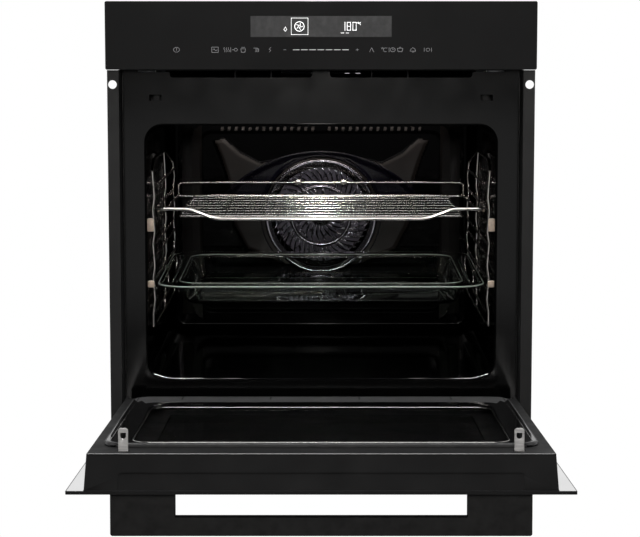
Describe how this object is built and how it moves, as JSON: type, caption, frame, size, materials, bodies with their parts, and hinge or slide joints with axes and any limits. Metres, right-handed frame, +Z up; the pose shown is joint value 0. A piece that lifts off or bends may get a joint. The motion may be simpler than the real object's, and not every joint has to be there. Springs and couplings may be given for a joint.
{
  "type": "wall oven",
  "caption": "Built-in combination wall oven with drop-down door, touch control panel, fan-assisted cavity, wire shelf and glass tray.",
  "frame": {"origin": "middle of the front edge of the flat underside: Y = 0 is the plane of the cabinet front, where the mounting flanges seat, and Z = 0 is the shelf the oven stands on", "axes": "+X to the right seen from the front, +Y from the front into the cabinet, +Z up"},
  "size_m": [0.595, 1.0304, 0.6317],
  "materials": {
    "panel_glass": "gloss",
    "tinted_door_glass": "gloss",
    "clear_glass": "gloss",
    "dark_clear_glass": "gloss",
    "black_enamel": "gloss",
    "grey_enamel": "satin",
    "frame_paint": "satin",
    "flange_paint": "satin",
    "galvanised": "satin",
    "chrome": "polished",
    "guard_steel": "polished",
    "hook_steel": "satin",
    "matte_black": "matte",
    "black_plastic": "matte",
    "choke_black": "gloss",
    "screen_steel": "satin",
    "ceramic_cream": "satin",
    "mica": "matte",
    "heater_steel": "matte",
    "mineral_wool": "matte",
    "circuit_board": "satin",
    "display_dark": "gloss",
    "screw_steel": "polished",
    "aluminium": "satin"
  },
  "bodies": {
    "housing": {"air_duct": "black_plastic", "baffle_screws": "screw_steel", "blower_case": "galvanised", "blower_motor": "galvanised", "casing_back": "galvanised", "casing_base": "galvanised", "casing_left": "galvanised", "casing_right": "galvanised", "casing_top": "galvanised", "cavity_shell": "black_enamel", "component_plate": "galvanised", "control_panel_glass": "panel_glass", "display_module": "display_dark", "fan_guard": "guard_steel", "fan_motor": "galvanised", "front_frame": "grey_enamel", "grill_element": "heater_steel", "hinge_bracket_left": "galvanised", "hinge_bracket_right": "galvanised", "hinge_pins": "screw_steel", "hinge_springs": "screw_steel", "insulation_wrap": "mineral_wool", "lamp_bulb": "clear_glass", "lamp_holder": "galvanised", "lamp_lens": "clear_glass", "latch_case_left": "black_plastic", "latch_case_right": "black_plastic", "magnetron": "aluminium", "mains_terminal": "black_plastic", "mounting_flange_left": "flange_paint", "mounting_flange_right": "flange_paint", "panel_carrier": "black_plastic", "power_board": "circuit_board", "rack_bushes": "ceramic_cream", "rear_baffle": "black_enamel", "ring_heater": "heater_steel", "side_rack_left": "chrome", "side_rack_right": "chrome", "stirrer_cover": "mica", "stirrer_motor": "black_plastic", "touch_board": "circuit_board", "waveguide": "galvanised"},
    "door": {"door_frame": "frame_paint", "door_outer_glass": "tinted_door_glass", "door_middle_glass": "dark_clear_glass", "perforated_screen": "screen_steel", "door_inner_glass": "dark_clear_glass", "choke_cover": "choke_black", "handle": "matte_black", "handle_screws": "screw_steel", "latch_hooks": "hook_steel", "hinge_arm_left": "galvanised", "hinge_arm_right": "galvanised"},
    "wire_shelf": {"wire_shelf": "chrome"},
    "glass_tray": {"glass_tray": "clear_glass"},
    "convection_fan": {"convection_fan": "aluminium"},
    "blower_wheel": {"blower_wheel": "aluminium"},
    "mode_stirrer": {"mode_stirrer": "aluminium"},
    "latch_lever_left": {"latch_lever_left": "black_plastic"},
    "latch_lever_right": {"latch_lever_right": "black_plastic"}
  },
  "joints": [
    {"name": "door_hinge", "type": "hinge", "parent": "housing", "child": "door", "pos_m": [0, -0.002, 0.014], "axis": [-1, 0, 0], "range_deg": [0, 87]},
    {"name": "shelf_slide", "type": "slide", "parent": "housing", "child": "wire_shelf", "axis": [0, 1, 0], "range_m": [-0.33, 0]},
    {"name": "tray_slide", "type": "slide", "parent": "housing", "child": "glass_tray", "axis": [0, 1, 0], "range_m": [-0.33, 0]},
    {"name": "convection_fan_spin", "type": "hinge", "parent": "housing", "child": "convection_fan", "pos_m": [0, 0.47, 0.254], "axis": [0, 1, 0], "continuous": true},
    {"name": "blower_spin", "type": "hinge", "parent": "housing", "child": "blower_wheel", "pos_m": [0, 0.382, 0.536], "axis": [1, 0, 0], "continuous": true},
    {"name": "stirrer_spin", "type": "hinge", "parent": "housing", "child": "mode_stirrer", "pos_m": [0, 0.405, 0.43], "axis": [0, 0, 1], "continuous": true},
    {"name": "latch_lever_left_press", "type": "hinge", "parent": "housing", "child": "latch_lever_left", "pos_m": [-0.2335, 0.053, 0.45], "axis": [-1, 0, 0], "range_deg": [0, 10], "stiffness_Nm_per_rad": 0.02},
    {"name": "latch_lever_right_press", "type": "hinge", "parent": "housing", "child": "latch_lever_right", "pos_m": [0.2335, 0.053, 0.45], "axis": [-1, 0, 0], "range_deg": [0, 10], "stiffness_Nm_per_rad": 0.02}
  ]
}
